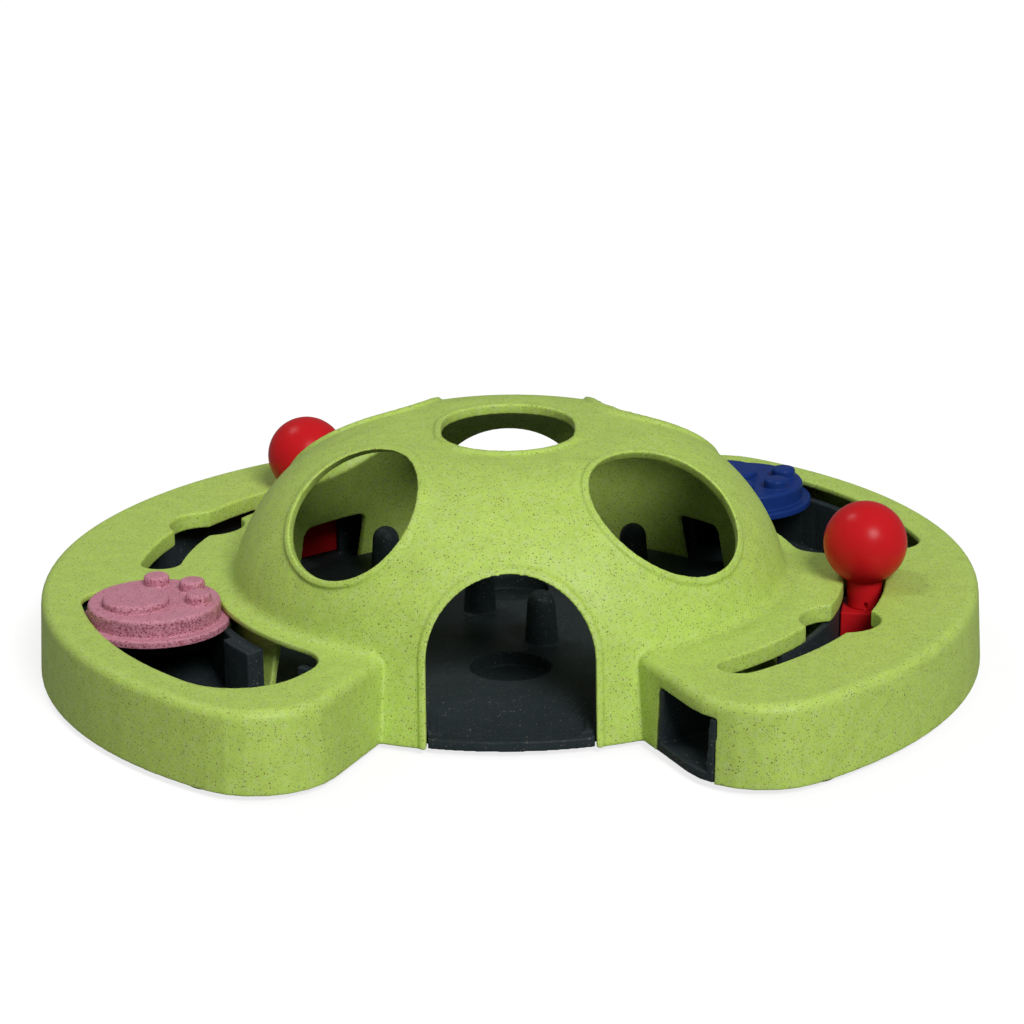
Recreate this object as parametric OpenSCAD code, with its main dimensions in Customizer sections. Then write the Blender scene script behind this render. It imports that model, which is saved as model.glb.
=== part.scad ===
// Dog puzzle feeder: a round treat toy with a domed centre and a ring of slides.
// Heights run from the bottom edge of the green skirt, and the feet lift that edge off the floor.
// The right arm of the ring lies about +X, and the left arm is the same arm turned half a turn.
// Angles along an arm run from its middle: negative towards the door on the -Y side for the right arm.

/* [Shell] */
// Wall thickness of the green shell
wall = 2.2; // [2:0.1:2.8]
// Height of the ring from skirt edge to top face
ring_h = 24.75; // [23:0.25:28]
// Flat land between the lid opening and the outer edge of the ring
rim_land = 13; // [12:0.5:18]
// Inward lean of the ring wall over its height
ring_draft = 1.2; // [0.6:0.1:2]
// Rounding of the ring's top edge
edge_r = 3.2; // [2:0.2:4]
// Half angle of the gap in front of each door
notch_half_angle = 24.5; // [22:0.5:28]
// Corner radius of the arms beside the gap
notch_corner_r = 24; // [20:1:28]

/* [Dome] */
// Outer radius of the dome wall at the skirt edge
dome_foot_r = 91; // [88:0.5:96]
// Outer radius of the dome wall at the ring's top face
dome_shoulder_r = 85.5; // [84:0.5:87]
// Height of the dome's crown
crown_h = 69.5; // [66:0.5:76]
// Step from the skirt edge down to the dome's bottom edge
dome_step = 0.3; // [0.2:0.1:1]
// Fillet where the dome meets the ring
dome_fillet_r = 4; // [2:0.5:5]
// Half width of the door
door_half_w = 24.4; // [20:0.2:28]
// Height of the straight door jambs
door_jamb_h = 24.2; // [18:0.2:25]
// Half width of the top hole
top_hole_r = 20.3; // [17:0.1:23]
// Extra length of the top hole from door to door
top_hole_stretch = 9; // [2:0.5:10]
// Radius of the windows on the lid side
lid_window_r = 21.4; // [19:0.1:23]
// Radius of the windows on the lever side
lever_window_r = 24; // [20:0.1:25]
// Distance of the windows from the centre plane between the arms
window_x = 46; // [44:0.2:48]
// Distance of the windows from the centre plane between the doors
window_y = 42.6; // [41:0.1:45]
// Height of the windows' centres
window_h = 57.2; // [56:0.2:61]
// Angle of the windows' bores from the arm's middle, seen from above
window_turn = 70; // [45:1:80]
// Rise of the bore of the windows on the lid side
lid_window_rise = 24; // [22:1:60]
// Rise of the bore of the windows on the lever side
lever_window_rise = 54; // [40:1:60]
// Width of the raised rims
rim_w = 2.2; // [1.6:0.1:3]
// Height of the raised rims above the dome
rim_h = 1; // [0.8:0.1:2]

/* [Ring openings] */
// Angle between an arm's end wall and the openings in its top
opening_land = 8.9; // [7:0.1:11]
// Sweep of a lid opening
bean_sweep = 49.7; // [46:0.1:51]
// Width of a lid opening
bean_w = 40.5; // [38:0.5:43]
// Gap between the dome wall and a lid opening
bean_land = 0.5; // [0.4:0.1:1.5]
// Corner radius of a lid opening at its near end on the dome side
bean_inner_corner_r = 14; // [6:0.5:15]
// Corner radius of a lid opening at its far end
bean_far_corner_r = 10; // [6:0.5:14]
// Sweep of a lever slot
slot_sweep = 54.4; // [48:0.2:55]
// Width of a lever slot
slot_w = 12.5; // [11.5:0.1:13.5]
// Depth of the lip that hangs round a lever slot
slot_lip_h = 5.5; // [4.5:0.1:6]
// Thickness of that lip
slot_lip_t = 2; // [1.4:0.1:2.4]
// Radius of the round filling hole in a lever slot
fill_hole_r = 12; // [10:0.5:13]
// Angle of the filling hole along the arm
fill_hole_angle = -26.75; // [-32:0.25:-22]
// Height of the gates between the dome and the ring
gate_h = 21; // [16:0.5:22]
// Corner radius at the top of the gates
gate_corner_r = 3; // [1:0.5:4]
// Sweep of the gate beside a lever slot
slot_gate_sweep = 16.5; // [11:0.1:18]
// Sweep of the gate beside a lid opening
bean_gate_sweep = 11.4; // [9:0.1:13]
// Middle of the gate beside a lever slot
slot_gate_angle = -47.2; // [-50:0.1:-44]
// Middle of the gate beside a lid opening
bean_gate_angle = 43.1; // [40:0.1:46]

/* [Tray] */
// Thickness of the tray's plate
plate_t = 2.6; // [2:0.1:3]
// Height of the floor inside the dome
deck_h = 6; // [5:0.1:7]
// Thickness of the tray's raised walls
tray_wall = 2.2; // [1.8:0.1:2.6]
// Gap between the dome wall and a treat tunnel
tunnel_land = 9; // [8.4:0.1:10.5]
// Overall width of a treat tunnel
tunnel_w = 29; // [27:0.2:30]
// Height of a treat tunnel's walls
tunnel_h = 18.9; // [16:0.1:19]
// Step from the skirt edge up to a treat tunnel's underside
tunnel_step = 0.3; // [0.2:0.1:1]
// Floor of a treat tunnel
tunnel_floor = 3; // [2.7:0.1:4]
// Angle past the arm's middle at which a treat tunnel ends
tunnel_end_angle = 3; // [2:0.1:3.4]
// Width of a rail's top
rail_w = 2.7; // [2.2:0.1:3.4]
// Sweep of the block beside the lid opening's gate
block_sweep = 9.5; // [7:0.1:11]
// Depth of that block, measured from the rail
block_d = 2.6; // [2:0.1:6]
// Step from the rail down to the top of that block
block_drop = 0.5; // [0.4:0.1:3]
// Radius of the round wells in the dome floor
well_r = 12.4; // [10:0.2:14]
// Thickness of a well's bottom
well_floor = 1.4; // [1:0.1:2]
// Distance of the wells from the centre
well_y = 36; // [32:0.5:40]
// Base radius of a post
post_r = 5.2; // [4.4:0.1:6]
// Top radius of a post
post_tip_r = 4.3; // [3.4:0.1:4.4]
// Height of a post above the dome floor
post_h = 16.7; // [12:0.1:18]
// Length of the sloping step at each door
ramp_l = 28; // [22:0.5:30]
// Height of the sloping step at the door
ramp_low = 3; // [2.8:0.1:4]
// Width of the edging round the step's sunk panel
ramp_edging = 2.2; // [1.4:0.1:3]
// Depth of that panel at the door
ramp_sink = 1.5; // [0.8:0.1:1.8]
// Corner radius of that panel
ramp_corner_r = 6; // [3:0.5:8]

/* [Sliders] */
// Running gap of every slide
slide_gap = 0.3; // [0.3:0.05:0.5]
// Reach of a lid's flange under the shell
flange_lip = 2.4; // [1.6:0.1:3]
// Thickness of a lid's flange
flange_t = 2.3; // [1.8:0.1:2.8]
// Rounding of the flange's edge
flange_edge_r = 0.6; // [0.3:0.1:0.9]
// Height of a lid's face above the ring
lid_proud = 2.9; // [0.3:0.1:4]
// Rounding of a lid's face
lid_edge_r = 1.2; // [0.5:0.1:1.6]
// Direction of the pink paw's pad, seen from above
pink_pad_angle = 220; // [0:1:359]
// Direction of the blue paw's pad, seen from above
blue_pad_angle = 138; // [0:1:359]
// Radius of the paw's pad
pad_r = 10; // [8:0.5:11]
// Distance of the pad from the lid's middle
pad_offset = 6.6; // [5:0.1:7.5]
// Height of the pad
pad_h = 2.6; // [2:0.1:4]
// Radius of a paw toe
toe_r = 3.9; // [3:0.1:4.2]
// Distance of the toes from the lid's middle
toe_offset = 14; // [12:0.1:14.4]
// Height of a toe
toe_h = 3.2; // [1.6:0.1:3.6]
// Angle between the toes
toe_pitch = 52; // [48:1:64]
// Rounding of the paw's edges
paw_edge_r = 1.2; // [0.6:0.1:1.5]
// Radius of a lever's ball
ball_r = 12.75; // [11:0.25:14]
// Distance of the slot's centre line from the tunnel's inner face
slot_inset = 9.25; // [9:0.05:10]
// Gap between a lever's neck and the sides of its slot
neck_gap = 0.55; // [0.4:0.05:1]
// Taper of a neck towards its foot
neck_taper = 0.5; // [0.2:0.1:1]
// Radius of the peg under a neck
peg_r = 3.2; // [2.4:0.1:3.4]
// Length of that peg
peg_l = 5; // [4:0.1:7]
// Angle of the right lever from the inner end of its slot
right_lever_rest = 1.3; // [0.5:0.1:40]
// Angle of the left lever from the outer end of its slot
left_lever_rest = 1.2; // [0.5:0.1:40]
// Length of a pusher along its tunnel
pusher_l = 16; // [11:0.5:17]
// Height of a pusher's top face
pusher_top = 16; // [13:0.1:17]

/* [Feet and screws] */
// Height of the rubber feet
foot_h = 2; // [1.5:0.1:4]
// Radius of a rubber foot
foot_r = 7; // [5:0.5:8]
// Angle between the feet of an arm
foot_spread = 51; // [44:1:53]
// Gap between a foot and the edge of the tray
foot_inset = 0.5; // [0.2:0.1:2]
// Radius of a screw boss
boss_r = 3.5; // [3.2:0.1:3.8]
// Radius of a screw's shank
screw_r = 1.4; // [1.2:0.1:1.6]
// Radius of a screw's head
screw_head_r = 2.8; // [2.4:0.1:3]
// Height of a screw's head
screw_head_h = 1.6; // [1.2:0.1:2]
// Angle along the arm of the screw outside the tunnel
outer_screw_angle = -30; // [-45:1:-12]
// Angle along the arm of the screw beside the dome
inner_screw_angle = -8; // [-20:1:-4]
// Angle between the third screw and the arm's end wall
end_screw_angle = 4; // [3.8:0.1:4.6]

/* [Hidden] */
$fn = 128;
eps = 0.01;
cut = 1;
fit_gap = 0.4;
hole_gap = 0.15;
wide_r = 40;
arc_step = 3;
corner_step = 15;

// Plan of an arm
arm_half = 90 - notch_half_angle;
bean_in = dome_foot_r + bean_land;
bean_out = bean_in + bean_w;
ring_r = bean_out + rim_land;
corner_reach = ring_r - notch_corner_r;
corner_turn = asin(notch_corner_r / corner_reach);
core_r = dome_shoulder_r - 3 * wall;

// Dome section: a leaning wall up to the ring's top face, then one arc to the crown
lean = atan((dome_foot_r - dome_shoulder_r) / ring_h);
shoulder_h = ring_h + dome_fillet_r / 2;
arc_r = (crown_h - shoulder_h) / (1 - sin(lean));
arc_c = [dome_shoulder_r - (shoulder_h - ring_h) * tan(lean) - arc_r * cos(lean),
         shoulder_h - arc_r * sin(lean)];

// Slides
bean_a1 = arm_half - opening_land;
bean_a0 = bean_a1 - bean_sweep;
lid_track_r = bean_in + bean_w / 2;
lid_body_r = bean_w / 2 - slide_gap;
lid_flange_r = bean_w / 2 + flange_lip;
lid_half_turn = asin((lid_body_r + slide_gap) / lid_track_r);
lid_a0 = bean_a0 + lid_half_turn;
lid_a1 = bean_a1 - lid_half_turn;
flange_z = ring_h - wall - slide_gap - flange_t;
rail_h = flange_z - slide_gap;
lid_face_z = ring_h + lid_proud;
tunnel_in = dome_foot_r + tunnel_land;
tunnel_out = tunnel_in + tunnel_w;
slot_r = tunnel_in + slot_inset;
slot_a0 = -arm_half + opening_land;
slot_a1 = slot_a0 + slot_sweep;
slot_end_r = slot_w / 2 - eps;
slot_end_turn = asin(slot_end_r / slot_r);
right_lever_angle = slot_a1 - slot_end_turn - right_lever_rest;
left_lever_angle = slot_a0 + slot_end_turn + left_lever_rest;
ball_seat = sqrt(ball_r * ball_r - slot_w * slot_w / 4) + slide_gap;
ball_z = ring_h + ball_seat;
neck_r = slot_w / 2 - neck_gap;
pusher_half_turn = asin(pusher_l / 2 / slot_r);

// Screw bosses, as radius and angle along an arm
boss_spots = [
  [(tunnel_out + ring_r - wall) / 2, outer_screw_angle],
  [(dome_foot_r + tunnel_in) / 2, inner_screw_angle],
  [lid_track_r, arm_half - end_screw_angle],
];
seat_z = plate_t + screw_head_h;
foot_ring_r = ring_r - wall - fit_gap - foot_r - foot_inset;

// Posts of one half of the dome floor, as x and y
post_spots = [[9.5, -14.8], [40, 50], [-40, 50]];

function polar(r, a) = [r * cos(a), r * sin(a)];

function arc_at(c, r, a0, a1) =
  let (n = max(2, ceil(abs(a1 - a0) / (r > wide_r ? arc_step : corner_step))))
  [for (i = [0 : n]) c + polar(r, a0 + (a1 - a0) * i / n)];

// Outline of an arc-shaped opening, with its own corner radius at each corner
function sector_points(ri, ro, a0, a1, ci0, co0, ci1, co1) =
  let (ao0 = a0 + asin(co0 / (ro - co0)), ao1 = a1 - asin(co1 / (ro - co1)))
  let (ai0 = a0 + asin(ci0 / (ri + ci0)), ai1 = a1 - asin(ci1 / (ri + ci1)))
  concat(
    arc_at(polar(ro - co0, ao0), co0, a0 - 90, ao0),
    arc_at([0, 0], ro, ao0 + arc_step / 2, ao1 - arc_step / 2),
    arc_at(polar(ro - co1, ao1), co1, ao1, a1 + 90),
    arc_at(polar(ri + ci1, ai1), ci1, a1 + 90, ai1 + 180),
    arc_at([0, 0], ri, ai1 - arc_step / 2, ai0 + arc_step / 2),
    arc_at(polar(ri + ci0, ai0), ci0, ai0 + 180, a0 + 270)
  );

module lift() {
  translate([0, 0, foot_h]) children();
}

module both_arms() {
  for (turn = [0, 180]) rotate([0, 0, turn]) children();
}

// Solid ring sector between two radii and two angles
module ring_block(ri, ro, a0, a1, z0, z1) {
  rotate([0, 0, a0])
    rotate_extrude(angle = a1 - a0)
      translate([ri, z0]) square([ro - ri, z1 - z0]);
}

// Round button with a rounded top edge
module button(r, h, e) {
  rotate_extrude() {
    square([r - e, h]);
    square([r, h - e]);
    translate([r - e, h - e]) intersection() {
      circle(e);
      square(e);
    }
  }
}

// Plan of an arm at height z, drawn in by inset: end walls, round corners, outer arc and the dome side
function arm_outline(inset, z, reach) =
  let (sweep = arm_half - corner_turn, turn = arm_half - arc_step)
  let (root = dome_shoulder_r + (ring_h - z) * tan(lean) - reach)
  concat(
    [polar(root, -arm_half) + polar(inset, 90 - arm_half)],
    arc_at(polar(corner_reach, -sweep), notch_corner_r - inset, -arm_half - 90, -sweep),
    arc_at([0, 0], ring_r - inset, arc_step - sweep, sweep - arc_step),
    arc_at(polar(corner_reach, sweep), notch_corner_r - inset, sweep, arm_half + 90),
    [polar(root, arm_half) + polar(inset, arm_half - 90)],
    arc_at([0, 0], root, turn, -turn)
  );

// One arm of the ring, lofted through its plan: leaning sides and a top edge rounded by e
module arm(inset, z0, top, e, reach = wall / 2) {
  slope = ring_draft / ring_h;
  bend = [for (t = [0 : corner_step : 90]) [top - e + e * sin(t), (top - e) * slope + e * (1 - cos(t))]];
  levels = concat([[z0, z0 * slope]], e > 0 ? bend : [[top, top * slope]]);
  n = len(arm_outline(inset, 0, reach));
  last = len(levels) - 1;
  polyhedron(
    [for (l = levels) for (p = arm_outline(inset + l[1], l[0], reach)) [p[0], p[1], l[0]]],
    concat(
      [[for (i = [0 : n - 1]) i]],
      [for (k = [0 : last - 1]) for (i = [0 : n - 1])
        [k * n + i, (k + 1) * n + i, (k + 1) * n + (i + 1) % n, k * n + (i + 1) % n]],
      [[for (i = [n - 1 : -1 : 0]) last * n + i]]
    )
  );
}

// Section of the dome, grown outwards by grow
module dome_section(grow, z0) {
  shoulder = arc_c + (arc_r + grow) * [cos(lean), sin(lean)];
  foot = shoulder[0] + (shoulder[1] - z0) * tan(lean);
  polygon(concat([[0, z0], [foot, z0]],
                 arc_at(arc_c, arc_r + grow, lean, 90),
                 [[0, arc_c[1] + arc_r + grow]]));
}

module dome(grow, z0) {
  rotate_extrude() dome_section(grow, z0);
}

// Fillet between the dome and the top of an arm, ending short of the arm's end walls
module dome_fillet() {
  sweep = arm_half - arc_step;
  fz = ring_h + dome_fillet_r;
  fx = arc_c[0] + sqrt(pow(arc_r + dome_fillet_r, 2) - pow(fz - arc_c[1], 2));
  rise = atan2(fz - arc_c[1], fx - arc_c[0]);
  rotate([0, 0, -sweep])
    rotate_extrude(angle = 2 * sweep)
      polygon(concat([[core_r, fz], [core_r, ring_h - wall / 2], [fx, ring_h - wall / 2]],
                     arc_at([fx, fz], dome_fillet_r, 270, 180 + rise)));
}

// Arched door shape, grown by grow, running out from inside the dome
module door_prism(grow, z0) {
  translate([0, -dome_foot_r / 2, 0]) rotate([90, 0, 0]) linear_extrude(dome_foot_r) {
    translate([0, door_jamb_h]) circle(door_half_w + grow);
    translate([-door_half_w - grow, z0]) square([2 * (door_half_w + grow), door_jamb_h - z0]);
  }
}

module top_hole_prism(grow) {
  reach = top_hole_stretch / 2;
  translate([0, 0, crown_h / 2]) linear_extrude(crown_h)
    polygon(concat(arc_at([0, reach], top_hole_r + grow, 0, 180),
                   arc_at([0, -reach], top_hole_r + grow, 180, 360)));
}

// Round window of one half, bored from the front or rear: side is 1 beside the lid and -1 beside the lever
module window_plug(side, rise, r, grow) {
  translate([window_x, side * window_y, window_h])
    rotate([0, 90 - rise, side * window_turn])
      translate([0, 0, -2 * r]) cylinder(r = r + grow, h = 4 * r);
}

module window_plugs(grow) {
  window_plug(1, lid_window_rise, lid_window_r, grow);
  window_plug(-1, lever_window_rise, lever_window_r, grow);
}

// Lever slot with its round filling hole, grown by grow
module slot_prism(grow, z0, z1) {
  e = slot_end_r + grow;
  ri = slot_r - slot_w / 2 - grow;
  ro = slot_r + slot_w / 2 + grow;
  a = asin(grow / slot_r);
  translate([0, 0, z0]) linear_extrude(z1 - z0) {
    polygon(sector_points(ri, ro, slot_a0 - a, slot_a1 + a, e, e, e, e));
    rotate(fill_hole_angle) translate([slot_r, 0]) circle(fill_hole_r + grow);
  }
}

module bean_prism() {
  e = bean_w / 2 - slide_gap / 2;
  translate([0, 0, ring_h - 2 * wall]) linear_extrude(4 * wall)
    polygon(sector_points(bean_in, bean_out, bean_a0, bean_a1, bean_far_corner_r, bean_far_corner_r,
                          bean_inner_corner_r, e));
}

// Gate through the dome wall, with rounded top corners
module gate(angle, sweep) {
  half_w = dome_foot_r * sin(sweep / 2);
  x = half_w - gate_corner_r;
  z = gate_h - gate_corner_r;
  rotate([90, 0, angle + 90]) translate([0, 0, core_r - wall])
    linear_extrude(dome_foot_r + 2 * wall - core_r)
      polygon(concat([[-half_w, plate_t / 2], [half_w, plate_t / 2]],
                     arc_at([x, z], gate_corner_r, 0, 90),
                     arc_at([-x, z], gate_corner_r, 90, 180)));
}

module boss_places() {
  for (spot = boss_spots) translate(polar(spot[0], spot[1])) children();
}

// Hollow arm with the lip of its slot and its screw bosses, rooted in the dome wall
module hollow_arm() {
  difference() {
    arm(0, 0, ring_h, edge_r);
    arm(wall, -cut, ring_h - wall, 0, wall);
  }
  slot_prism(slot_lip_t, ring_h - slot_lip_h, ring_h - wall / 2);
  boss_places() translate([0, 0, seat_z]) difference() {
    cylinder(r = boss_r, h = ring_h - seat_z - wall / 2);
    translate([0, 0, -cut]) cylinder(r = screw_r + hole_gap, h = ring_h - seat_z - 2 * wall);
  }
}

// Cut-out in an arm's end wall for the mouth of its tunnel
module mouth() {
  rotate([0, 0, -arm_half]) translate([tunnel_in - slide_gap, -2 * wall, -2 * cut])
    cube([tunnel_w + 2 * slide_gap, 5 * wall, tunnel_h + fit_gap + 2 * cut]);
}

// Dome wall with its rims, and the fillets that the arms grow out of
module dome_wall() {
  difference() {
    union() {
      dome(0, -dome_step);
      intersection() {
        dome(rim_h, -dome_step);
        union() {
          both_arms() window_plugs(rim_w);
          both_arms() door_prism(rim_w, 0);
          top_hole_prism(rim_w);
        }
      }
      both_arms() dome_fillet();
    }
    dome(-wall, -cut);
  }
}

// Green top: ring, dome, rims and screw bosses in one moulding
module top_shell() {
  color("yellowgreen") lift() difference() {
    union() {
      dome_wall();
      both_arms() hollow_arm();
    }
    both_arms() {
      window_plugs(0);
      door_prism(0, -cut);
      slot_prism(0, ring_h - 2 * slot_lip_h, ring_h + cut);
      bean_prism();
      gate(slot_gate_angle, slot_gate_sweep);
      gate(bean_gate_angle, bean_gate_sweep);
      arm(wall + fit_gap / 2, -2 * cut, plate_t + slide_gap, 0, 4 * wall);
      mouth();
    }
    top_hole_prism(0);
  }
}

// Post with a round top
module post() {
  cylinder(r1 = post_r, r2 = post_tip_r, h = post_h - post_tip_r);
  translate([0, 0, post_h - post_tip_r]) sphere(post_tip_r);
}

// Treat tunnel: an open-topped channel whose mouth ends flush with the arm's end wall
module tunnel() {
  end_turn = asin(tray_wall / tunnel_in);
  difference() {
    intersection() {
      ring_block(tunnel_in, tunnel_out, -90, tunnel_end_angle, tunnel_step, tunnel_h);
      arm(0, 0, ring_h, 0);
    }
    ring_block(tunnel_in + tray_wall, tunnel_out - tray_wall, -90 - arc_step,
               tunnel_end_angle - end_turn, tunnel_floor, ring_h);
    ring_block(tunnel_in - wall, tunnel_in + 2 * tray_wall, slot_gate_angle - slot_gate_sweep / 2,
               slot_gate_angle + slot_gate_sweep / 2, tunnel_floor, ring_h);
  }
}

// Trough under a lid opening: two rails, two end walls and the block beside the gate
module trough() {
  a0 = lid_a0 - asin(lid_flange_r / lid_track_r);
  a1 = lid_a1 + asin(lid_flange_r / lid_track_r);
  end_turn = asin(tray_wall / lid_track_r);
  rail_in = dome_foot_r + fit_gap;
  rail_out = bean_in + rail_w;
  gate_a0 = bean_gate_angle - bean_gate_sweep / 2;
  difference() {
    ring_block(rail_in, bean_out, a0, a1, plate_t / 2, rail_h);
    ring_block(rail_out, bean_out - rail_w, a0 + end_turn, a1 - end_turn, 0, ring_h);
    ring_block(rail_in - cut, rail_out + cut, gate_a0, gate_a0 + bean_gate_sweep, 0, ring_h);
  }
  ring_block((rail_in + rail_out) / 2, rail_out + block_d, gate_a0 - block_sweep,
             gate_a0 - asin(fit_gap / rail_out), plate_t / 2, rail_h - block_drop);
}

// Space above the sloping step at a door, with the sunk panel in its middle
module ramp() {
  half_w = door_half_w - 2 * fit_gap;
  top = dome_foot_r - ramp_l;
  end = dome_foot_r + wall;
  fall = (deck_h - ramp_low) / ramp_l;
  panel_end = dome_foot_r - fit_gap - 2 * ramp_edging;
  panel_h = deck_h - fall * (panel_end - top) - ramp_sink;
  panel_w = half_w - ramp_edging;
  rotate([90, 0, 90]) translate([0, 0, -half_w]) linear_extrude(2 * half_w)
    polygon([[-top, deck_h], [-end, deck_h - fall * (end - top)],
             [-end, deck_h + cut], [-top, deck_h + cut]]);
  intersection() {
    rotate([90, 0, 90]) translate([0, 0, -half_w]) linear_extrude(2 * half_w)
      polygon([[-top, deck_h], [-panel_end - cut, panel_h],
               [-panel_end - cut, deck_h], [-top, deck_h + cut]]);
    linear_extrude(deck_h + 2 * cut)
      polygon(concat([[panel_w, -top], [-panel_w, -top]],
                     arc_at([ramp_corner_r - panel_w, ramp_corner_r - panel_end], ramp_corner_r, 180, 270),
                     arc_at([panel_w - ramp_corner_r, ramp_corner_r - panel_end], ramp_corner_r, 270, 360)));
  }
}

// Dark tray: floor, posts, wells, tunnels and troughs in one moulding
module base_tray() {
  inner_r = dome_foot_r - wall / cos(lean) - deck_h * tan(lean) - fit_gap;
  color("darkslategray") lift() difference() {
    union() {
      cylinder(r = inner_r, h = deck_h);
      intersection() {
        cylinder(r = dome_foot_r - fit_gap, h = ramp_low);
        translate([-door_half_w + fit_gap, -dome_foot_r, 0])
          cube([2 * (door_half_w - fit_gap), 2 * dome_foot_r, ramp_low]);
      }
      both_arms() {
        arm(wall + fit_gap, 0, plate_t, 0, 4 * wall);
        tunnel();
        trough();
        boss_places() cylinder(r = boss_r, h = seat_z);
        for (p = post_spots) translate([p[0], p[1], deck_h]) post();
      }
    }
    difference() {
      translate([0, 0, -cut]) cylinder(r = inner_r - tray_wall, h = deck_h - tray_wall + cut);
      both_arms() {
        translate([0, well_y, -2 * cut]) cylinder(r = well_r + tray_wall, h = deck_h);
        translate([-door_half_w, -dome_foot_r, -2 * cut])
          cube([2 * door_half_w, ramp_l - tray_wall, deck_h]);
      }
    }
    both_arms() {
      ramp();
      translate([0, well_y, well_floor]) cylinder(r = well_r, h = deck_h);
      boss_places() {
        translate([0, 0, -cut]) cylinder(r = screw_r + hole_gap, h = seat_z + 2 * cut);
        translate([0, 0, -cut]) cylinder(r = screw_head_r + hole_gap, h = screw_head_h + cut);
      }
    }
  }
}

// Sliding lid with a plain paw on its face
module lid(pad_turn) {
  body_z = flange_z + flange_t - eps;
  paw_z = lid_face_z - cut;
  translate([0, 0, flange_z]) button(lid_flange_r, flange_t, flange_edge_r);
  translate([0, 0, body_z]) button(lid_body_r, lid_face_z - body_z, lid_edge_r);
  rotate([0, 0, pad_turn]) {
    translate([pad_offset, 0, paw_z]) button(pad_r, pad_h + cut, paw_edge_r);
    for (i = [-1 : 1]) rotate([0, 0, 180 + i * toe_pitch])
      translate([toe_offset, 0, paw_z]) button(toe_r, toe_h + cut, paw_edge_r);
  }
}

module at_track(r, angle) {
  rotate([0, 0, angle]) translate([r, 0, 0]) children();
}

module pink_lid() {
  color("palevioletred") lift() at_track(lid_track_r, 180 + lid_a0) lid(pink_pad_angle - 180 - lid_a0);
}

module blue_lid() {
  color("royalblue") lift() at_track(lid_track_r, lid_a1) lid(blue_pad_angle - lid_a1);
}

// Ball with a tapered neck and the peg that holds it in its pusher
module ball_knob() {
  translate([0, 0, ball_z]) sphere(ball_r);
  translate([0, 0, pusher_top])
    cylinder(r1 = neck_r - neck_taper, r2 = neck_r, h = ball_z - ball_r / 2 - pusher_top);
  translate([0, 0, pusher_top - peg_l]) cylinder(r = peg_r, h = peg_l + cut);
}

// Hollow block that pushes treats along its tunnel
module pusher() {
  ri = tunnel_in + tray_wall + slide_gap;
  ro = tunnel_out - tray_wall - slide_gap;
  skin = asin(tray_wall / slot_r);
  difference() {
    ring_block(ri, ro, -pusher_half_turn, pusher_half_turn, tunnel_floor + slide_gap, pusher_top);
    difference() {
      ring_block(ri + tray_wall, ro - tray_wall, skin - pusher_half_turn, pusher_half_turn - skin,
                 tunnel_floor - cut, pusher_top - tray_wall);
      translate([slot_r, 0, 0]) cylinder(r = peg_r + tray_wall, h = pusher_top);
    }
    translate([slot_r, 0, 0]) cylinder(r = peg_r + hole_gap, h = pusher_top + cut);
  }
}

module right_ball_knob() {
  color("red") lift() at_track(slot_r, right_lever_angle) ball_knob();
}

module left_ball_knob() {
  color("red") lift() at_track(slot_r, 180 + left_lever_angle) ball_knob();
}

module right_pusher() {
  color("firebrick") lift() rotate([0, 0, right_lever_angle]) pusher();
}

module left_pusher() {
  color("firebrick") lift() rotate([0, 0, 180 + left_lever_angle]) pusher();
}

// Rubber foot under the tray's edge
module foot(angle) {
  color("dimgray") rotate([0, 0, angle]) translate([foot_ring_r, 0, 0])
    cylinder(r = foot_r, h = foot_h);
}

module right_front_foot() {
  foot(-foot_spread);
}

module right_foot() {
  foot(0);
}

module right_rear_foot() {
  foot(foot_spread);
}

module left_rear_foot() {
  foot(180 - foot_spread);
}

module left_foot() {
  foot(180);
}

module left_front_foot() {
  foot(180 + foot_spread);
}

// Six screws, driven up through the tray into the shell's bosses
module base_screws() {
  color("silver") lift() both_arms() boss_places() {
    cylinder(r = screw_head_r, h = screw_head_h);
    cylinder(r = screw_r, h = ring_h - 4 * wall);
  }
}

top_shell();
base_tray();
pink_lid();
blue_lid();
right_ball_knob();
left_ball_knob();
right_pusher();
left_pusher();
right_front_foot();
right_foot();
right_rear_foot();
left_rear_foot();
left_foot();
left_front_foot();
base_screws();
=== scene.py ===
import math
import bpy
import bmesh
from mathutils import Matrix, Vector


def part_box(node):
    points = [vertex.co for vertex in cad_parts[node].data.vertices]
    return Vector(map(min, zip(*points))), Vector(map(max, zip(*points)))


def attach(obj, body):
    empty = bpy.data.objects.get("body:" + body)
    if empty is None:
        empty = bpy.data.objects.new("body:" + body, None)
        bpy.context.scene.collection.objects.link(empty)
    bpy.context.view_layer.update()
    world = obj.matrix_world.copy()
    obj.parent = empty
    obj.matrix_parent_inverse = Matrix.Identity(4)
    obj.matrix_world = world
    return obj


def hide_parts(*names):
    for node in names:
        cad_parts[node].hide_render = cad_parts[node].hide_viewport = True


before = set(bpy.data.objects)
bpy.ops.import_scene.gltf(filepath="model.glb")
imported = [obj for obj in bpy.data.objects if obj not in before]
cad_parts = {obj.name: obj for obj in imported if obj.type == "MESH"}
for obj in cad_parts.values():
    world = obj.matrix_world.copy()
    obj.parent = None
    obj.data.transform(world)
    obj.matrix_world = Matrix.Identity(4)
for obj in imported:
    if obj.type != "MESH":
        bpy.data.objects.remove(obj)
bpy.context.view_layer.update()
scene = bpy.context.scene
print("frame loaded:", len(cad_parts), "nodes")

# camera at the photograph's place, in metres and degrees
cameraView = {
    "target": (0.00095, 0.0, 0.0451),
    "distance": 1.053,
    "elevation": 17.84,
    "roll": -0.7,
    "lens": 120.33,
    "sensor": 36.0,
}


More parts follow.
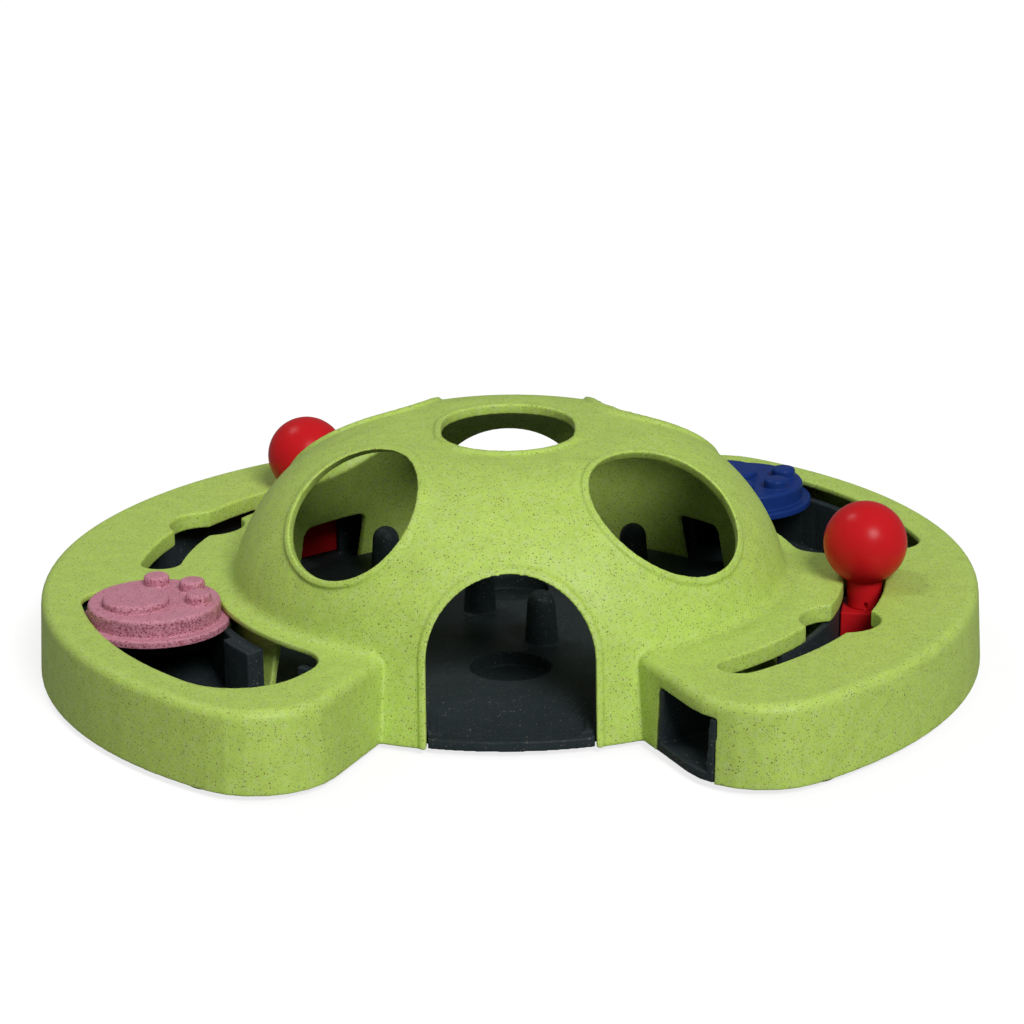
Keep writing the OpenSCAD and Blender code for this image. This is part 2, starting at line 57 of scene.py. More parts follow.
def placeCamera(view):
    lift, roll = math.radians(view["elevation"]), math.radians(view["roll"])
    ahead = Vector((0, math.cos(lift), -math.sin(lift)))
    side, up = Vector((1, 0, 0)), Vector((0, math.sin(lift), math.cos(lift)))
    across = side * math.cos(roll) + up * math.sin(roll)
    upward = up * math.cos(roll) - side * math.sin(roll)
    data = bpy.data.cameras.new("feederCamera")
    data.lens, data.sensor_width = view["lens"], view["sensor"]
    data.clip_start, data.clip_end = 0.05, 50
    camera = bpy.data.objects.new("feederCamera", data)
    turn = Matrix((across, upward, -ahead)).transposed().to_4x4()
    camera.matrix_world = Matrix.Translation(Vector(view["target"]) - ahead * view["distance"]) @ turn
    scene.collection.objects.link(camera)
    scene.camera = camera


placeCamera(cameraView)
print("camera placed")


# small helpers for shader and geometry trees
def addNode(tree, kind, where=(0, 0), **values):
    node = tree.nodes.new(kind)
    node.location = where
    for key, value in values.items():
        if key in node.inputs:
            feed(tree, value, node.inputs[key])
        else:
            setattr(node, key, value)
    return node


def feed(tree, value, socket):
    if hasattr(value, "is_output"):
        tree.links.new(value, socket)
    else:
        socket.default_value = value


def mathNode(tree, operation, a, b=None, c=None, clamp=False):
    node = addNode(tree, "ShaderNodeMath", operation=operation, use_clamp=clamp)
    for socket, value in zip(node.inputs, (a, b, c)):
        if value is not None:
            feed(tree, value, socket)
    return node.outputs[0]


def mixColor(tree, factor, a, b, blend="MIX"):
    node = addNode(tree, "ShaderNodeMix", data_type="RGBA", blend_type=blend)
    for socket, value in ((node.inputs[0], factor), (node.inputs[6], a), (node.inputs[7], b)):
        feed(tree, value, socket)
    return node.outputs[2]


# ground bran and husk flecks in the moulded plastic, shared by every plastic here
fleckMix = {
    "wanderScale": 2600.0,
    "wanderLength": 0.00045,
    "fibreTurn": (0.5, 0.3, 0.7),
    "fibreStretch": (0.28, 1.0, 0.6),
    "brownAbove": 0.84,
    "palest": 0.35,
    # cells to each spacing, part of the fleck share, radius in cells, sharpness of the rim, strength
    "layers": {
        "tiny": (1.7, 1.0, 0.3, 8.0, 0.8),
        "fine": (1.0, 1.0, 0.27, 11.0, 1.0),
        "large": (0.45, 0.3, 0.14, 14.0, 0.95),
    },
    # the same for the fibres, whose share and strength are their own
    "fibre": (1.3, 0.45, 0.24, 6.0),
    "cloudScale": 150.0,
    "blotchScale": 520.0,
    "blotchFrom": 0.47,
    "blotchSteep": 5.0,
    "skinScale": 1500.0,
}


def makeFleckGroup():
    tree = bpy.data.node_groups.new("branFlecks", "ShaderNodeTree")
    face = tree.interface
    for name, kind, value in (
        ("Plastic", "NodeSocketColor", (0.5, 0.5, 0.5, 1)),
        ("Dark fleck", "NodeSocketColor", (0.1, 0.1, 0.1, 1)),
        ("Brown fleck", "NodeSocketColor", (0.2, 0.1, 0.05, 1)),
        ("Husk", "NodeSocketColor", (0.6, 0.6, 0.5, 1)),
        ("Fleck spacing", "NodeSocketFloat", 0.0012),
        ("Fleck share", "NodeSocketFloat", 0.4),
        ("Strength", "NodeSocketFloat", 0.6),
        # how much larger flecks grow on steep walls; this paints shade on the sides
        ("Wall shade flecks", "NodeSocketFloat", 0.0),
        ("Fibre", "NodeSocketFloat", 0.2),
        ("Cloud", "NodeSocketFloat", 0.15),
        ("Blotch", "NodeSocketFloat", 0.2),
    ):
        face.new_socket(name, in_out="INPUT", socket_type=kind).default_value = value
    for name, kind in (("Color", "Color"), ("Fleck", "Float"), ("Grain", "Float")):
        face.new_socket(name, in_out="OUTPUT", socket_type="NodeSocket" + kind)
    given = addNode(tree, "NodeGroupInput", (-1400, 0)).outputs
    place = addNode(tree, "ShaderNodeTexCoord", (-1400, 300)).outputs["Object"]
    # a little wander makes the flecks ragged
    ragged = addNode(tree, "ShaderNodeTexNoise", (-1200, 300), Vector=place, Detail=1.0,
                     Scale=fleckMix["wanderScale"])
    wander = addNode(tree, "ShaderNodeVectorMath", (-1000, 300), operation="SCALE",
                     Scale=fleckMix["wanderLength"])
    feed(tree, ragged.outputs["Color"], wander.inputs[0])
    moved = addNode(tree, "ShaderNodeVectorMath", (-800, 300), operation="ADD")
    feed(tree, place, moved.inputs[0])
    feed(tree, wander.outputs[0], moved.inputs[1])
    perMetre = mathNode(tree, "DIVIDE", 1.0, given["Fleck spacing"])
    # flecks grow larger on steep walls: painted shade that makes the sides render darker than the top
    normal = addNode(tree, "ShaderNodeNewGeometry", (-1400, 600)).outputs["Normal"]
    level = mathNode(tree, "ABSOLUTE", addNode(tree, "ShaderNodeSeparateXYZ", Vector=normal).outputs["Z"])
    steep = mathNode(tree, "SUBTRACT", 1.0, level)
    wallShadeSwell = mathNode(tree, "MULTIPLY_ADD", steep, given["Wall shade flecks"], 1.0)

    def flecks(where, scaleBy, share, radius, sharp):
        cells = addNode(tree, "ShaderNodeTexVoronoi", (-400, 0), feature="F1", Vector=where)
        feed(tree, mathNode(tree, "MULTIPLY", perMetre, scaleBy), cells.inputs["Scale"])
        pick = addNode(tree, "ShaderNodeSeparateColor", Color=cells.outputs["Color"])
        chosen = mathNode(tree, "LESS_THAN", pick.outputs[0], share)
        size = mathNode(tree, "MULTIPLY_ADD", pick.outputs[1], radius, radius * 0.5)
        grown = mathNode(tree, "MULTIPLY", size, wallShadeSwell)
        edge = mathNode(tree, "SUBTRACT", grown, cells.outputs["Distance"])
        soft = mathNode(tree, "MULTIPLY", edge, sharp, clamp=True)
        weight = mathNode(tree, "MULTIPLY_ADD", pick.outputs[2], 1 - fleckMix["palest"], fleckMix["palest"])
        mask = mathNode(tree, "MULTIPLY", soft, mathNode(tree, "MULTIPLY", chosen, weight))
        brown = mathNode(tree, "GREATER_THAN", pick.outputs[1], fleckMix["brownAbove"])
        return mask, mixColor(tree, brown, given["Dark fleck"], given["Brown fleck"])

    def noise(scale, detail, where, **more):
        node = addNode(tree, "ShaderNodeTexNoise", where, Vector=place, Scale=scale, Detail=detail, **more)
        return node.outputs["Fac"]

    # mottled plastic, with soft paler blotches where husk lies under the skin
    cloud = noise(fleckMix["cloudScale"], 4.0, (-400, -300), Roughness=0.65)
    drift = mathNode(tree, "MULTIPLY", mathNode(tree, "SUBTRACT", cloud, 0.5), given["Cloud"])
    color = mixColor(tree, 1.0, given["Plastic"], mathNode(tree, "ADD", drift, 1.0), "MULTIPLY")
    husk = noise(fleckMix["blotchScale"], 2.0, (-400, -900), Roughness=0.6)
    above = mathNode(tree, "SUBTRACT", husk, fleckMix["blotchFrom"])
    patch = mathNode(tree, "MULTIPLY", above, fleckMix["blotchSteep"], clamp=True)
    color = mixColor(tree, mathNode(tree, "MULTIPLY", patch, given["Blotch"]), color, given["Husk"])
    # husk fibres: the same cells drawn out along one slanting way
    slant = addNode(tree, "ShaderNodeMapping", (-800, -200), Vector=moved.outputs[0])
    slant.inputs["Rotation"].default_value = fleckMix["fibreTurn"]
    slant.inputs["Scale"].default_value = fleckMix["fibreStretch"]
    fibre, fibreColor = flecks(slant.outputs[0], *fleckMix["fibre"])
    color = mixColor(tree, mathNode(tree, "MULTIPLY", fibre, given["Fibre"]), color, fibreColor)
    masks = {}
    for layer, (scaleBy, part, radius, sharp, strength) in fleckMix["layers"].items():
        share = mathNode(tree, "MULTIPLY", given["Fleck share"], part)
        masks[layer], fleckColor = flecks(moved.outputs[0], scaleBy, share, radius, sharp)
        shown = mathNode(tree, "MULTIPLY", given["Strength"], strength)
        color = mixColor(tree, mathNode(tree, "MULTIPLY", masks[layer], shown), color, fleckColor)
    skin = noise(fleckMix["skinScale"], 2.0, (-400, -600))
    out = addNode(tree, "NodeGroupOutput", (800, 0))
    feed(tree, color, out.inputs["Color"])
    feed(tree, mathNode(tree, "MAXIMUM", masks["fine"], masks["large"]), out.inputs["Fleck"])
    feed(tree, skin, out.inputs["Grain"])
    return tree


fleckGroup = makeFleckGroup()
# height of the moulded grain in metres, and how deep a fleck sinks in it
grainHeight = 0.0002
fleckSink = 0.4


def speckledPlastic(name, look):
    material = bpy.data.materials.new(name)
    material.use_nodes = True
    tree = material.node_tree
    tree.nodes.clear()
    out = addNode(tree, "ShaderNodeOutputMaterial", (600, 0))
    surface = addNode(tree, "ShaderNodeBsdfPrincipled", (300, 0))
    surface.inputs["Specular IOR Level"].default_value = look["specular"]
    surface.inputs["Metallic"].default_value = look.get("metal", 0.0)
    flecks = addNode(tree, "ShaderNodeGroup", (-300, 0), node_tree=fleckGroup)
    for key in ("Plastic", "Dark fleck", "Brown fleck", "Husk"):
        flecks.inputs[key].default_value = (*look[key], 1)
    for key in ("Fleck spacing", "Fleck share", "Strength", "Fibre", "Cloud", "Blotch"):
        flecks.inputs[key].default_value = look[key]
    # painted shade: larger flecks on steep walls darken the sides against the top
    flecks.inputs["Wall shade flecks"].default_value = look.get("Wall shade flecks", 0.0)
    feed(tree, flecks.outputs["Color"], surface.inputs["Base Color"])
    spread = look["roughSpread"]
    dull = mathNode(tree, "MULTIPLY_ADD", flecks.outputs["Grain"], spread, look["rough"] - spread / 2)
    feed(tree, dull, surface.inputs["Roughness"])
    bump = addNode(tree, "ShaderNodeBump", (0, -300), Strength=look["bump"], Distance=grainHeight)
    sunk = mathNode(tree, "MULTIPLY", flecks.outputs["Fleck"], fleckSink)
    feed(tree, mathNode(tree, "SUBTRACT", flecks.outputs["Grain"], sunk), bump.inputs["Height"])
    feed(tree, bump.outputs["Normal"], surface.inputs["Normal"])
    feed(tree, surface.outputs[0], out.inputs["Surface"])
    return material


# points closer than this, in metres, are one point
weldGap = 2e-6


# a merged copy of a CAD node, remeshed and laid back on it, with every edge softened as a mould leaves it
def mouldPiece(name, node, body, material, soft, cutter=None):
    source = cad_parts[node]
    mesh = source.data.copy()
    mesh.name = name
    bm = bmesh.new()
    bm.from_mesh(mesh)
    bmesh.ops.remove_doubles(bm, verts=bm.verts, dist=weldGap)
    bm.to_mesh(mesh)
    bm.free()
    piece = bpy.data.objects.new(name, mesh)
    scene.collection.objects.link(piece)
    if cutter:
        slit = piece.modifiers.new("slit", "BOOLEAN")
        slit.operation, slit.object = "DIFFERENCE", cutter
    remesh = piece.modifiers.new("skin", "REMESH")
    remesh.mode, remesh.voxel_size = "VOXEL", soft["voxel"]
    if soft["lay"]:
        lay = piece.modifiers.new("lay", "SHRINKWRAP")
        lay.target, lay.wrap_method = source, "NEAREST_SURFACEPOINT"
    smooth = piece.modifiers.new("soften", "SMOOTH")
    smooth.factor, smooth.iterations = 0.5, soft["rounds"]
    thin = piece.modifiers.new("thin", "DECIMATE")
    thin.ratio = soft["keep"]
    graph = bpy.context.evaluated_depsgraph_get()
    finished = bpy.data.meshes.new_from_object(piece.evaluated_get(graph))
    piece.modifiers.clear()
    piece.data = finished
    finished.name = name
    finished.materials.clear()
    finished.materials.append(material)
    finished.shade_smooth()
    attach(piece, body)
    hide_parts(node)
    print("moulded", name, sum(len(p.vertices) - 2 for p in finished.polygons), "triangles")
    return piece


greenShell = {
    "look": {
        "Plastic": (0.485, 0.675, 0.12), "Dark fleck": (0.03, 0.04, 0.02),
        "Brown fleck": (0.2, 0.1, 0.04), "Husk": (0.55, 0.69, 0.26),
        "Fleck spacing": 0.0007, "Fleck share": 0.62, "Strength": 0.9, "Fibre": 0.34,
        "Cloud": 0.4, "Blotch": 0.45,
        "rough": 0.5, "roughSpread": 0.12, "specular": 0.38, "bump": 0.22,
    },
    "soft": {"voxel": 0.00042, "rounds": 12, "keep": 0.088, "lay": True},
}
mouldPiece("greenShell", "top_shell", "housing",
           speckledPlastic("shellGreen", greenShell["look"]), greenShell["soft"])

darkTray = {
    "look": {
        "Plastic": (0.022, 0.032, 0.035), "Dark fleck": (0.12, 0.125, 0.13),
        "Brown fleck": (0.22, 0.18, 0.16), "Husk": (0.029, 0.041, 0.045),
        "Fleck spacing": 0.0009, "Fleck share": 0.26, "Strength": 0.65, "Fibre": 0.06,
        "Cloud": 0.4, "Blotch": 0.3,
        "rough": 0.5, "roughSpread": 0.14, "specular": 0.13, "bump": 0.22,
    },
    "soft": {"voxel": 0.0005, "rounds": 3, "keep": 0.14, "lay": True},
}
mouldPiece("darkTray", "base_tray", "housing",
           speckledPlastic("trayDark", darkTray["look"]), darkTray["soft"])

pawLids = {
    "pink": {
        "Plastic": (0.60, 0.25, 0.33), "Dark fleck": (0.19, 0.04, 0.06),
        "Brown fleck": (0.29, 0.055, 0.07), "Husk": (0.66, 0.32, 0.41),
        "Fleck spacing": 0.00068, "Fleck share": 0.9, "Strength": 0.95, "Fibre": 0.6,
        # painted shade: larger flecks darken the lid's steep sides against its top
        "Wall shade flecks": 0.65,
        "Cloud": 0.35, "Blotch": 0.4,
        "rough": 0.58, "roughSpread": 0.12, "specular": 0.25, "bump": 0.28,
    },
    "blue": {
        "Plastic": (0.009, 0.034, 0.18), "Dark fleck": (0.005, 0.014, 0.085),
        "Brown fleck": (0.016, 0.042, 0.2), "Husk": (0.012, 0.034, 0.185),
        "Fleck spacing": 0.001, "Fleck share": 0.3, "Strength": 0.45, "Fibre": 0.12,
        "Cloud": 0.25, "Blotch": 0.3,
        "rough": 0.42, "roughSpread": 0.1, "specular": 0.1, "bump": 0.18,
    },
    "soft": {"voxel": 0.0003, "rounds": 3, "keep": 0.35, "lay": True},
}
for tint, body in (("pink", "front_lid"), ("blue", "rear_lid")):
    mouldPiece(tint + "PawLid", tint + "_lid", body,
               speckledPlastic("lid" + tint.title(), pawLids[tint]), pawLids["soft"])

redLevers = {
    "look": {
        "Plastic": (0.59, 0.0115, 0.016), "Dark fleck": (0.45, 0.008, 0.012),
        "Brown fleck": (0.46, 0.012, 0.014), "Husk": (0.57, 0.014, 0.02),
        "Fleck spacing": 0.0012, "Fleck share": 0.12, "Strength": 0.25, "Fibre": 0.05,
        "Cloud": 0.12, "Blotch": 0.2,
        "rough": 0.3, "roughSpread": 0.06, "specular": 0.12, "bump": 0.06,
    },
    "soft": {"voxel": 0.0003, "rounds": 6, "keep": 0.4, "lay": False},
    # small moulding slit in the front of each neck, placed from the middle and the ball's top
    "slitSize": (0.0011, 0.004, 0.0021),
    "slitForward": 0.0055,
    "slitDrop": 0.0316,
}


def neckSlit(node):
    low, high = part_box(node)
    middle = (Vector(low) + Vector(high)) / 2
    place = Vector((middle.x, middle.y - redLevers["slitForward"], high[2] - redLevers["slitDrop"]))
    bm = bmesh.new()
    bmesh.ops.create_cube(bm, size=1.0)
    bmesh.ops.scale(bm, verts=bm.verts, vec=redLevers["slitSize"])
    bmesh.ops.translate(bm, verts=bm.verts, vec=place)
    mesh = bpy.data.meshes.new("slitTool")
    bm.to_mesh(mesh)
    bm.free()
    return bpy.data.objects.new("slitTool", mesh)


leverRed = speckledPlastic("leverRed", redLevers["look"])
for side in ("right", "left"):
    tool = neckSlit(side + "_ball_knob")
    scene.collection.objects.link(tool)
    mouldPiece(side + "BallKnob", side + "_ball_knob", side + "_lever",
               leverRed, redLevers["soft"], tool)
    bpy.data.objects.remove(tool)
    mouldPiece(side + "TreatPusher", side + "_pusher", side + "_lever",
               leverRed, redLevers["soft"])


# geometry trees: a profile of lines swept round a circle, in radius and height
def newTree(name, sizes, material):
    tree = bpy.data.node_groups.new(name, "GeometryNodeTree")
    tree.interface.new_socket("Geometry", in_out="INPUT", socket_type="NodeSocketGeometry")
    for label, value in sizes.items():
        socket = tree.interface.new_socket(label, in_out="INPUT", socket_type="NodeSocketFloat")
        socket.default_value = value
    tree.interface.new_socket(material, in_out="INPUT", socket_type="NodeSocketMaterial")
    tree.interface.new_socket("Geometry", in_out="OUTPUT", socket_type="NodeSocketGeometry")
    return tree, addNode(tree, "NodeGroupInput", (-1600, 0)).outputs


def profilePoint(tree, radius, height, reach):
    spot = addNode(tree, "ShaderNodeCombineXYZ")
    feed(tree, mathNode(tree, "SUBTRACT", radius, reach), spot.inputs["X"])
    feed(tree, mathNode(tree, "MULTIPLY", height, -1.0), spot.inputs["Y"])
    return spot.outputs[0]


def profileLine(tree, start, end, reach):
    line = addNode(tree, "GeometryNodeCurvePrimitiveLine")
    feed(tree, profilePoint(tree, *start, reach), line.inputs["Start"])
    feed(tree, profilePoint(tree, *end, reach), line.inputs["End"])
    return line.outputs[0]


def turned(tree, lines, reach, steps):
    joined = addNode(tree, "GeometryNodeJoinGeometry")
    for line in lines:
        tree.links.new(line, joined.inputs[0])
    circle = addNode(tree, "GeometryNodeCurvePrimitiveCircle", Resolution=steps, Radius=reach)
    sweep = addNode(tree, "GeometryNodeCurveToMesh")
    feed(tree, circle.outputs[0], sweep.inputs["Curve"])
    feed(tree, joined.outputs[0], sweep.inputs["Profile Curve"])
    closed = addNode(tree, "GeometryNodeMergeByDistance", Distance=weldGap)
    feed(tree, sweep.outputs[0], closed.inputs["Geometry"])
    return closed.outputs[0]


def endTree(tree, points, part, material):
    copies = addNode(tree, "GeometryNodeInstanceOnPoints")
    feed(tree, points, copies.inputs["Points"])
    feed(tree, part, copies.inputs["Instance"])
    real = addNode(tree, "GeometryNodeRealizeInstances")
    feed(tree, copies.outputs[0], real.inputs[0])
    painted = addNode(tree, "GeometryNodeSetMaterial")
    feed(tree, real.outputs[0], painted.inputs["Geometry"])
    feed(tree, material, painted.inputs["Material"])
    feed(tree, painted.outputs[0], addNode(tree, "NodeGroupOutput", (900, 0)).inputs[0])


# edges sharper than this, in degrees, stay sharp
sharpAngle = 40.0


def growPiece(name, tree, places, values, body, nodes):
    seeds = bpy.data.meshes.new(name + "Seeds")
    seeds.from_pydata(places, [], [])
    piece = bpy.data.objects.new(name, seeds)
    scene.collection.objects.link(piece)
    modifier = piece.modifiers.new("grow", "NODES")
    modifier.node_group = tree
    for item in tree.interface.items_tree:
        if item.in_out == "INPUT" and item.name in values:
            modifier[item.identifier] = values[item.name]
    graph = bpy.context.evaluated_depsgraph_get()
    finished = bpy.data.meshes.new_from_object(piece.evaluated_get(graph))
    piece.modifiers.clear()
    piece.data = finished
    finished.name = name
    finished.set_sharp_from_angle(angle=math.radians(sharpAngle))
    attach(piece, body)
    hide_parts(*nodes)
    print("grown", name, len(finished.polygons), "faces")
    return piece


gripFeet = {
    "sizes": {
        "Foot radius": 0.007, "Foot height": 0.002, "Edge round": 0.0007,
        "Grip rings": 4.0, "Ring depth": 0.0004,
    },
    "solePoints": 90,
    "turnSteps": 56,
    "look": {
        "Plastic": (0.013, 0.013, 0.013), "Dark fleck": (0.022, 0.022, 0.022),
        "Brown fleck": (0.03, 0.03, 0.028), "Husk": (0.018, 0.018, 0.018),
        "Fleck spacing": 0.0009, "Fleck share": 0.3, "Strength": 0.4, "Fibre": 0.1,
        "Cloud": 0.5, "Blotch": 0.3,
        "rough": 0.78, "roughSpread": 0.12, "specular": 0.2, "bump": 0.35,
    },
}


def makeFootTree():
    tree, given = newTree("gripFoot", gripFeet["sizes"], "Rubber")
    radius, height, edge = given["Foot radius"], given["Foot height"], given["Edge round"]
    top = profileLine(tree, (0.0, height), (radius, height), radius)
    wall = profileLine(tree, (radius, height), (radius, edge), radius)
    sole = addNode(tree, "GeometryNodeResampleCurve", Count=gripFeet["solePoints"])
    feed(tree, profileLine(tree, (radius, 0.0), (0.0, 0.0), radius), sole.inputs["Curve"])
    # rounded edge at the start of the sole, then the grip rings
    along = addNode(tree, "GeometryNodeSplineParameter").outputs["Factor"]
    inward = mathNode(tree, "DIVIDE", mathNode(tree, "MULTIPLY", along, radius), edge)
    left = mathNode(tree, "SUBTRACT", 1.0, inward, clamp=True)
    bow = mathNode(tree, "SQRT", mathNode(tree, "SUBTRACT", 1.0, mathNode(tree, "MULTIPLY", left, left)))
    roundUp = mathNode(tree, "MULTIPLY", mathNode(tree, "SUBTRACT", 1.0, bow), edge)
    turns = mathNode(tree, "MULTIPLY", along, given["Grip rings"])
    wave = mathNode(tree, "COSINE", mathNode(tree, "MULTIPLY", turns, 2 * math.pi))
    dip = mathNode(tree, "MULTIPLY_ADD", wave, -0.5, 0.5)
    groove = mathNode(tree, "MULTIPLY", dip, given["Ring depth"])
    offset = addNode(tree, "ShaderNodeCombineXYZ")
    rise = mathNode(tree, "MAXIMUM", roundUp, groove)
    feed(tree, mathNode(tree, "MULTIPLY", rise, -1.0), offset.inputs["Y"])
    shaped = addNode(tree, "GeometryNodeSetPosition", Geometry=sole.outputs[0], Offset=offset.outputs[0])
    part = turned(tree, (top, wall, shaped.outputs[0]), radius, gripFeet["turnSteps"])
    endTree(tree, given["Geometry"], part, given["Rubber"])
    return tree


footNodes = sorted(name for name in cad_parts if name.endswith("foot"))
footPlaces = []
for name in footNodes:
    low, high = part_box(name)
    footPlaces.append(((low[0] + high[0]) / 2, (low[1] + high[1]) / 2, low[2]))
growPiece("gripFeet", makeFootTree(), footPlaces,
          {**gripFeet["sizes"], "Rubber": speckledPlastic("footRubber", gripFeet["look"])},
          "housing", footNodes)

panScrews = {
    "sizes": {
        "Head radius": 0.0028, "Head height": 0.0016, "Dome": 0.0006,
        "Shank radius": 0.00115, "Length": 0.0159,
        "Thread pitch": 0.0011, "Thread depth": 0.00025, "Cross width": 0.0006, "Cross depth": 0.001,
    },
    "facePoints": 10,
    "turnSteps": 32,
    "coilSteps": 20,
    # span of the cross to the head's radius, and threaded part of the shank
    "crossSpan": 1.15,
    "threaded": 0.94,
    # points of one screw lie within this of its first point
    "reach": 0.008,
    "look": {
        "Plastic": (0.56, 0.55, 0.52), "Dark fleck": (0.40, 0.39, 0.37),
        "Brown fleck": (0.46, 0.43, 0.38), "Husk": (0.6, 0.59, 0.55),
        "Fleck spacing": 0.0005, "Fleck share": 0.3, "Strength": 0.3, "Fibre": 0.3,
        "Cloud": 0.3, "Blotch": 0.3,
        "rough": 0.34, "roughSpread": 0.16, "specular": 0.5, "bump": 0.05, "metal": 1.0,
    },
}


def makeScrewTree():
    tree, given = newTree("panScrew", panScrews["sizes"], "Steel")
    radius, height, shank = given["Head radius"], given["Head height"], given["Shank radius"]
    length, dome = given["Length"], given["Dome"]
    tip = profileLine(tree, (0.0, length), (shank, length), radius)
    stem = profileLine(tree, (shank, length), (shank, height), radius)
    seat = profileLine(tree, (shank, height), (radius, height), radius)
    side = profileLine(tree, (radius, height), (radius, dome), radius)
    face = addNode(tree, "GeometryNodeResampleCurve", Count=panScrews["facePoints"])
    feed(tree, profileLine(tree, (radius, 0.0), (0.0, 0.0), radius), face.inputs["Curve"])
    along = addNode(tree, "GeometryNodeSplineParameter").outputs["Factor"]
    out = mathNode(tree, "SUBTRACT", 1.0, along)
    offset = addNode(tree, "ShaderNodeCombineXYZ")
    crown = mathNode(tree, "MULTIPLY", mathNode(tree, "MULTIPLY", out, out), dome)
    feed(tree, mathNode(tree, "MULTIPLY", crown, -1.0), offset.inputs["Y"])
    domed = addNode(tree, "GeometryNodeSetPosition", Geometry=face.outputs[0], Offset=offset.outputs[0])
    body = turned(tree, (tip, stem, seat, side, domed.outputs[0]), radius, panScrews["turnSteps"])
    # cross recess in the head
    arms = []
    span = mathNode(tree, "MULTIPLY", radius, panScrews["crossSpan"])
    for first, second in ((span, given["Cross width"]), (given["Cross width"], span)):
        size = addNode(tree, "ShaderNodeCombineXYZ", X=first, Y=second)
        feed(tree, mathNode(tree, "MULTIPLY", given["Cross depth"], 2.0), size.inputs["Z"])
        arms.append(addNode(tree, "GeometryNodeMeshCube", Size=size.outputs[0]).outputs[0])
    recess = addNode(tree, "GeometryNodeMeshBoolean", operation="DIFFERENCE")
    feed(tree, body, recess.inputs["Mesh 1"])
    for arm in arms:
        tree.links.new(arm, recess.inputs["Mesh 2"])
    # thread wound up the shank
    wound = mathNode(tree, "MULTIPLY", mathNode(tree, "SUBTRACT", length, height), panScrews["threaded"])
    thread = addNode(tree, "GeometryNodeCurveSpiral", Resolution=panScrews["coilSteps"], Height=wound)
    feed(tree, mathNode(tree, "DIVIDE", wound, given["Thread pitch"]), thread.inputs["Rotations"])
    feed(tree, shank, thread.inputs["Start Radius"])
    feed(tree, shank, thread.inputs["End Radius"])
    ridge = addNode(tree, "GeometryNodeCurvePrimitiveCircle", Resolution=4, Radius=given["Thread depth"])
    coil = addNode(tree, "GeometryNodeCurveToMesh")
    feed(tree, thread.outputs[0], coil.inputs["Curve"])
    feed(tree, ridge.outputs[0], coil.inputs["Profile Curve"])
    coil.inputs["Fill Caps"].default_value = True
    lifted = addNode(tree, "GeometryNodeTransform", Geometry=coil.outputs[0])
    up = addNode(tree, "ShaderNodeCombineXYZ", Z=height)
    feed(tree, up.outputs[0], lifted.inputs["Translation"])
    whole = addNode(tree, "GeometryNodeJoinGeometry")
    tree.links.new(recess.outputs[0], whole.inputs[0])
    tree.links.new(lifted.outputs[0], whole.inputs[0])
    endTree(tree, given["Geometry"], whole.outputs[0], given["Steel"])
    return tree


def screwPlaces():
    spots = []
    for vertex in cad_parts["base_screws"].data.vertices:
        flat = vertex.co.xy
        for group in spots:
            if (group[0] - flat).length < panScrews["reach"]:
                group.append(flat.copy())
                break
        else:
            spots.append([flat.copy()])
    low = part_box("base_screws")[0][2]
    middles = []
    for group in spots:
        xs, ys = [p.x for p in group], [p.y for p in group]
        middles.append(((min(xs) + max(xs)) / 2, (min(ys) + max(ys)) / 2, low))
    return middles


growPiece("panScrews", makeScrewTree(), screwPlaces(),
          {**panScrews["sizes"], "Steel": speckledPlastic("screwSteel", panScrews["look"])},
          "housing", ["base_screws"])

# white studio: the paper floor shows white and keeps the shadow
studio = {
    "floorSize": 12.0,
    "paper": 0.3,
    "paperGlow": 0.79,
    "worldLevel": 0.18,
    # name, way the light comes from, softness in degrees, strength
    "lamps": (
        ("keySun", (0.29, -0.70, 0.652), 22.0, 2.35),
        ("topSun", (-0.45, 0.28, 0.85), 14.0, 0.48),
    ),
}


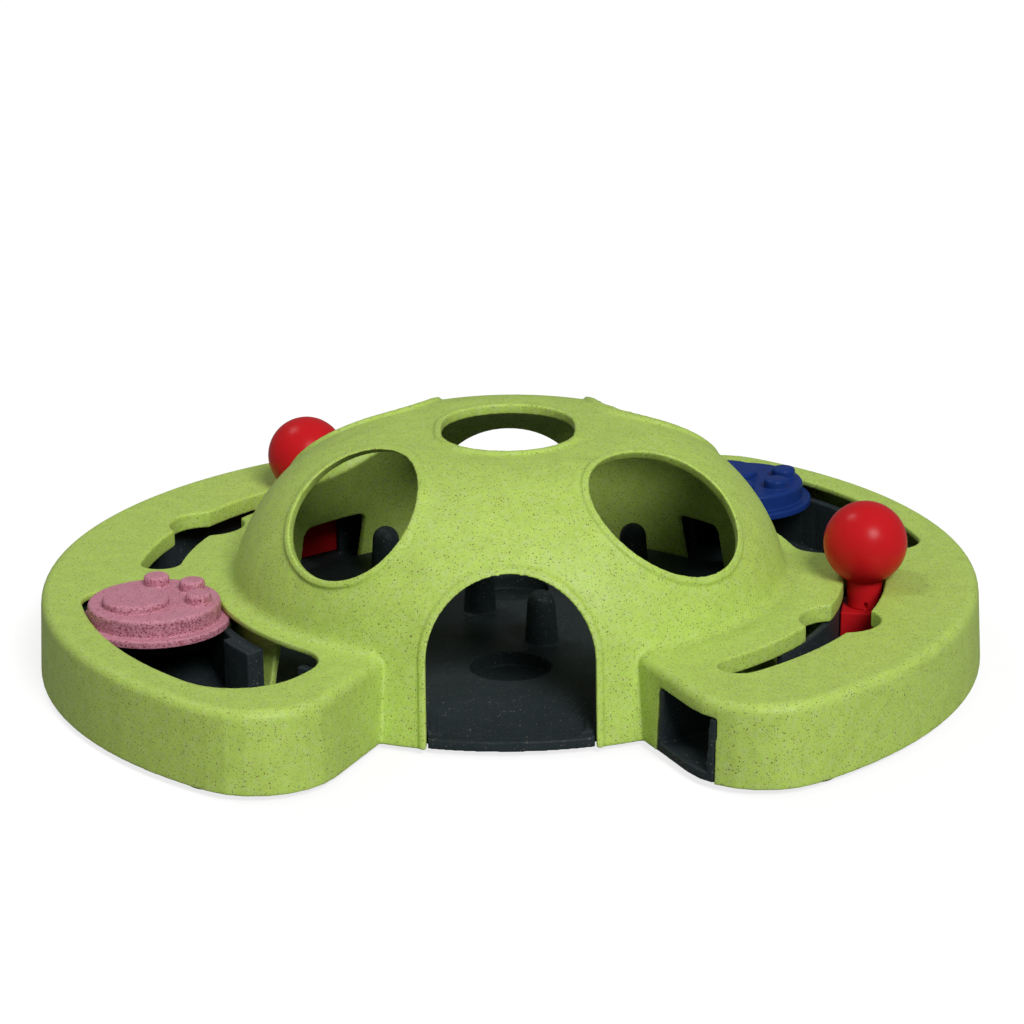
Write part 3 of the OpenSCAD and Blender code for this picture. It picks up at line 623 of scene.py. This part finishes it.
def seenDirectly(tree):
    rays = addNode(tree, "ShaderNodeLightPath", (-600, 300)).outputs
    return mathNode(tree, "MAXIMUM", rays["Is Camera Ray"], rays["Is Transmission Ray"])


def makeFloor():
    mesh = bpy.data.meshes.new("studioFloor")
    half = studio["floorSize"] / 2
    corners = [(-half, -half, 0), (half, -half, 0), (half, half, 0), (-half, half, 0)]
    mesh.from_pydata(corners, [], [(0, 1, 2, 3)])
    floor = bpy.data.objects.new("studioFloor", mesh)
    scene.collection.objects.link(floor)
    material = bpy.data.materials.new("floorPaper")
    material.use_nodes = True
    tree = material.node_tree
    tree.nodes.clear()
    paper = addNode(tree, "ShaderNodeBsdfDiffuse", (-200, 0), Color=(*[studio["paper"]] * 3, 1))
    glow = addNode(tree, "ShaderNodeEmission", (-200, -200))
    feed(tree, mathNode(tree, "MULTIPLY", seenDirectly(tree), studio["paperGlow"]), glow.inputs["Strength"])
    both = addNode(tree, "ShaderNodeAddShader", (100, 0))
    feed(tree, paper.outputs[0], both.inputs[0])
    feed(tree, glow.outputs[0], both.inputs[1])
    feed(tree, both.outputs[0], addNode(tree, "ShaderNodeOutputMaterial", (300, 0)).inputs["Surface"])
    mesh.materials.append(material)


def makeWorld():
    world = bpy.data.worlds.new("studioAir")
    scene.world = world
    world.use_nodes = True
    tree = world.node_tree
    tree.nodes.clear()
    air = addNode(tree, "ShaderNodeBackground", (0, 0), Color=(1, 1, 1, 1))
    feed(tree, mathNode(tree, "MAXIMUM", seenDirectly(tree), studio["worldLevel"]), air.inputs["Strength"])
    feed(tree, air.outputs[0], addNode(tree, "ShaderNodeOutputWorld", (300, 0)).inputs["Surface"])


def makeLamp(name, way, softness, strength):
    data = bpy.data.lights.new(name, "SUN")
    data.angle, data.energy = math.radians(softness), strength
    lamp = bpy.data.objects.new(name, data)
    lamp.location = way
    lamp.rotation_euler = Vector(way).to_track_quat("Z", "Y").to_euler()
    scene.collection.objects.link(lamp)


makeFloor()
makeWorld()
for lamp in studio["lamps"]:
    makeLamp(*lamp)
scene.view_settings.view_transform = "Standard"
print("studio lit")
